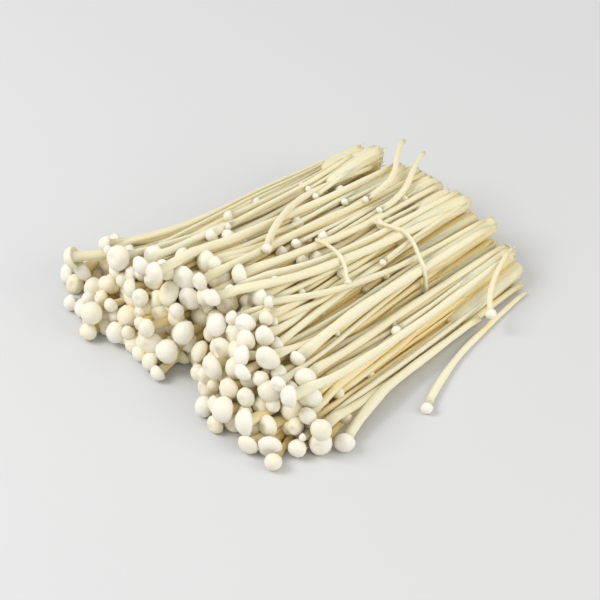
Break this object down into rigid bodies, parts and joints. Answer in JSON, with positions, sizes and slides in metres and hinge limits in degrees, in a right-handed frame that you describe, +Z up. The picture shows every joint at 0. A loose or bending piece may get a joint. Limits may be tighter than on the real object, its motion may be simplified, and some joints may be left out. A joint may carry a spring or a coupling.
{
  "type": "enoki mushroom bunch",
  "caption": "Bunch of enoki mushrooms lying on its side: long slim pale stems with small round caps, fanned out towards the caps and cut across at the feet.",
  "frame": {"origin": "middle of the bunch's bounding box, on the surface it rests on", "axes": "+X from the caps towards the cut feet, +Y towards the straight far side, +Z up"},
  "size_m": [0.1572, 0.147, 0.0388],
  "materials": {
    "tuft_flesh": "satin, cream, fine fibres along the stems",
    "single_flesh": "satin, pale cream, smooth caps"
  },
  "bodies": {
    "root": {"far_tuft_01": "tuft_flesh", "far_tuft_02": "tuft_flesh", "far_tuft_03": "tuft_flesh", "far_tuft_04": "tuft_flesh", "far_tuft_05": "tuft_flesh", "far_tuft_06": "tuft_flesh", "far_tuft_07": "tuft_flesh", "far_tuft_08": "tuft_flesh", "far_tuft_09": "tuft_flesh", "far_tuft_10": "tuft_flesh", "far_tuft_11": "tuft_flesh", "middle_tuft_01": "tuft_flesh", "middle_tuft_02": "tuft_flesh", "middle_tuft_03": "tuft_flesh", "middle_tuft_04": "tuft_flesh", "middle_tuft_05": "tuft_flesh", "middle_tuft_06": "tuft_flesh", "middle_tuft_07": "tuft_flesh", "middle_tuft_08": "tuft_flesh", "middle_tuft_09": "tuft_flesh", "middle_tuft_10": "tuft_flesh", "middle_tuft_11": "tuft_flesh", "middle_tuft_12": "tuft_flesh", "middle_tuft_13": "tuft_flesh", "middle_tuft_14": "tuft_flesh", "middle_tuft_15": "tuft_flesh", "middle_tuft_16": "tuft_flesh", "middle_tuft_17": "tuft_flesh", "middle_tuft_18": "tuft_flesh", "near_tuft_01": "tuft_flesh", "near_tuft_02": "tuft_flesh", "near_tuft_03": "tuft_flesh", "near_tuft_04": "tuft_flesh", "near_tuft_05": "tuft_flesh", "near_tuft_06": "tuft_flesh", "near_tuft_07": "tuft_flesh", "near_tuft_08": "tuft_flesh", "near_tuft_09": "tuft_flesh", "near_tuft_10": "tuft_flesh", "near_tuft_11": "tuft_flesh", "single_bent_over_top": "single_flesh", "single_crown_left_cap": "single_flesh", "single_crown_middle_cap": "single_flesh", "single_crown_round_cap": "single_flesh", "single_crown_wide_cap": "single_flesh", "single_far_edge_long": "single_flesh", "single_far_edge_short": "single_flesh", "single_far_foot_splinter": "single_flesh", "single_middle_foot_splinter": "single_flesh", "single_near_ball_cap": "single_flesh", "single_near_floor_reach": "single_flesh", "single_near_floor_stray": "single_flesh", "single_near_foot_curl": "single_flesh", "single_near_second_cap": "single_flesh", "single_near_thick_neck": "single_flesh", "single_near_top_cap": "single_flesh", "single_thin_across_middle": "single_flesh", "single_thin_across_near": "single_flesh", "single_valley_cap": "single_flesh", "single_valley_small_cap": "single_flesh"}
  },
  "joints": []
}
